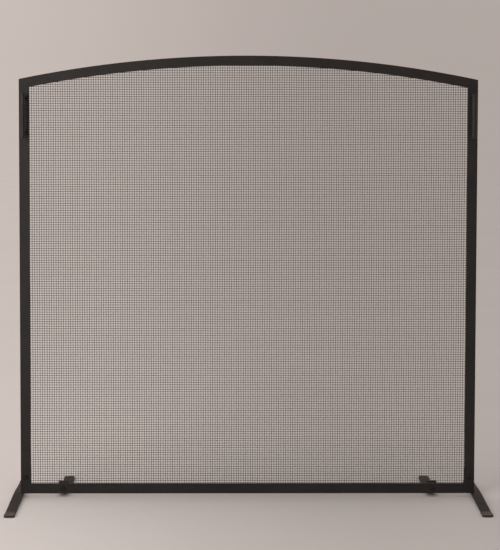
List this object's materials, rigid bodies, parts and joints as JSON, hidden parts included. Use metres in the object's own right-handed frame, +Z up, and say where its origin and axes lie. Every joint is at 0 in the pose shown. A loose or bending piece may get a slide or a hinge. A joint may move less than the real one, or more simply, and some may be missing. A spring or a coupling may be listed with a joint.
{
  "type": "fireplace screen",
  "caption": "Free-standing single-panel fireplace screen with an arched top, a flat-bar metal frame, a woven wire panel, side handles and flat-bar feet.",
  "frame": {"origin": "on the floor, at the bottom centre of the bounding box; the frame's flat bars stand over it", "axes": "+Z up, +X to the viewer's right, -Y towards the room and the viewer, +Y towards the fire"},
  "size_m": [1.051, 0.38, 0.9885],
  "materials": {
    "frame_paint": "satin dark brown-black",
    "strip_paint": "satin dark brown-black",
    "foot_paint": "satin dark brown-black, lightly worn",
    "handle_paint": "satin dark brown-black",
    "wire_cloth": "dark oxidised wire",
    "fasteners": "blackened steel"
  },
  "bodies": {
    "root": {"left_side_bar": "frame_paint", "right_side_bar": "frame_paint", "arched_top_bar": "frame_paint", "bottom_bar": "frame_paint", "mesh_panel": "wire_cloth", "left_clamp_strip": "strip_paint", "right_clamp_strip": "strip_paint", "top_clamp_strip": "strip_paint", "bottom_clamp_strip": "strip_paint", "left_corner_foot": "foot_paint", "left_back_foot": "foot_paint", "left_handle_grip": "handle_paint", "left_handle_upper_post": "handle_paint", "left_handle_lower_post": "handle_paint", "right_corner_foot": "foot_paint", "right_back_foot": "foot_paint", "right_handle_grip": "handle_paint", "right_handle_upper_post": "handle_paint", "right_handle_lower_post": "handle_paint", "left_strip_screw_1": "fasteners", "left_strip_screw_2": "fasteners", "left_strip_screw_3": "fasteners", "left_strip_screw_4": "fasteners", "right_strip_screw_1": "fasteners", "right_strip_screw_2": "fasteners", "right_strip_screw_3": "fasteners", "right_strip_screw_4": "fasteners", "top_strip_screw_1": "fasteners", "top_strip_screw_2": "fasteners", "top_strip_screw_3": "fasteners", "top_strip_screw_4": "fasteners", "bottom_strip_screw_1": "fasteners", "bottom_strip_screw_2": "fasteners", "bottom_strip_screw_3": "fasteners", "bottom_strip_screw_4": "fasteners", "left_handle_upper_screw": "fasteners", "left_handle_lower_screw": "fasteners", "right_handle_upper_screw": "fasteners", "right_handle_lower_screw": "fasteners", "left_corner_bolt": "fasteners", "left_corner_washer": "fasteners", "left_corner_nut": "fasteners", "left_back_bolt": "fasteners", "left_back_washer": "fasteners", "left_back_nut": "fasteners", "right_corner_bolt": "fasteners", "right_corner_washer": "fasteners", "right_corner_nut": "fasteners", "right_back_bolt": "fasteners", "right_back_washer": "fasteners", "right_back_nut": "fasteners"}
  },
  "joints": []
}
